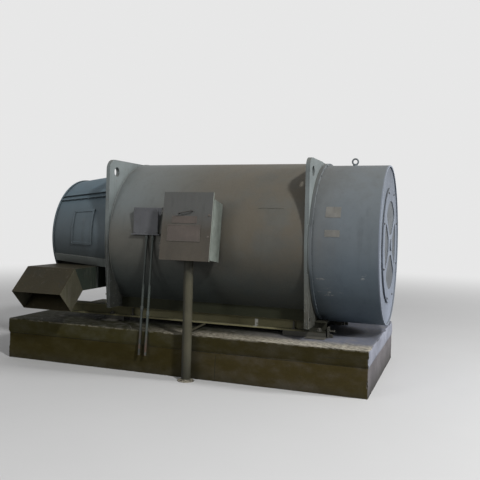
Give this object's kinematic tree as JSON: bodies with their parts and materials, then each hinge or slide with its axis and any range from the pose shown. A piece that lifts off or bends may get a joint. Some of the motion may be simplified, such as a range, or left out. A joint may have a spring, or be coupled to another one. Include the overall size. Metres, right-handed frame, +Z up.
{
  "type": "ball mill drive motor on its foundation",
  "caption": "Large drum-shaped mill drive motor on a concrete plinth, with end plates, a spoked round cover, an air duct and a control box on a post.",
  "frame": {"origin": "on the floor under the shaft line, midway along the foundation", "axes": "+X along the shaft from the drive end to the covered end, -Y towards the control box, +Z up"},
  "size_m": [4.319, 2.4821, 2.415],
  "materials": {
    "foundation_concrete": "rough, dusty, chipped edges",
    "rail_steel": "old paint under brown dust",
    "casing_paint": "matt grey-green paint, dusty and scratched",
    "cover_paint": "pale blue-grey paint, dusty",
    "dark_iron": "dark, oily",
    "shaft_steel": "turned, dull",
    "duct_sheet": "bare sheet with brown dust",
    "box_paint": "old red-brown paint, dusty",
    "terminal_paint": "matt grey paint, dusty"
  },
  "bodies": {
    "machine": {"plinth_block": "foundation_concrete", "plinth_slab": "foundation_concrete", "sole_plates": "rail_steel", "base_rail_front": "rail_steel", "base_rail_rear": "rail_steel", "foot_bar_front": "rail_steel", "foot_bar_rear": "rail_steel", "casing": "casing_paint", "frame_plate_drive": "casing_paint", "bell_plate_drive": "casing_paint", "frame_plate_cover": "casing_paint", "bell_plate_cover": "casing_paint", "housing_flange": "casing_paint", "cover_housing": "casing_paint", "cover_ring": "cover_paint", "window_screen": "cover_paint", "end_cover": "cover_paint", "hub_cap": "cover_paint", "lifting_eye": "casing_paint", "inner_barrel": "dark_iron", "drive_cover": "casing_paint", "cover_seams": "casing_paint", "cover_lips": "casing_paint", "inspection_panel_front": "casing_paint", "inspection_panel_rear": "casing_paint", "end_shield": "casing_paint", "bearing_housing": "dark_iron", "shaft": "shaft_steel", "duct_neck": "duct_sheet", "duct_spout": "duct_sheet", "control_post": "box_paint", "post_foot": "box_paint", "control_box": "box_paint", "box_hinges": "dark_iron", "terminal_box": "terminal_paint", "terminal_cover": "terminal_paint", "gland_plate": "terminal_paint", "conduits": "terminal_paint", "post_tie": "terminal_paint"},
    "box_door": {"control_box_door": "box_paint", "door_handle": "dark_iron"}
  },
  "joints": [
    {"name": "box_door_hinge", "type": "hinge", "parent": "machine", "child": "box_door", "pos_m": [-0.043, -1.15608, 1.61785], "axis": [0, -0.1392, -0.9903], "range_deg": [0, 110]}
  ]
}
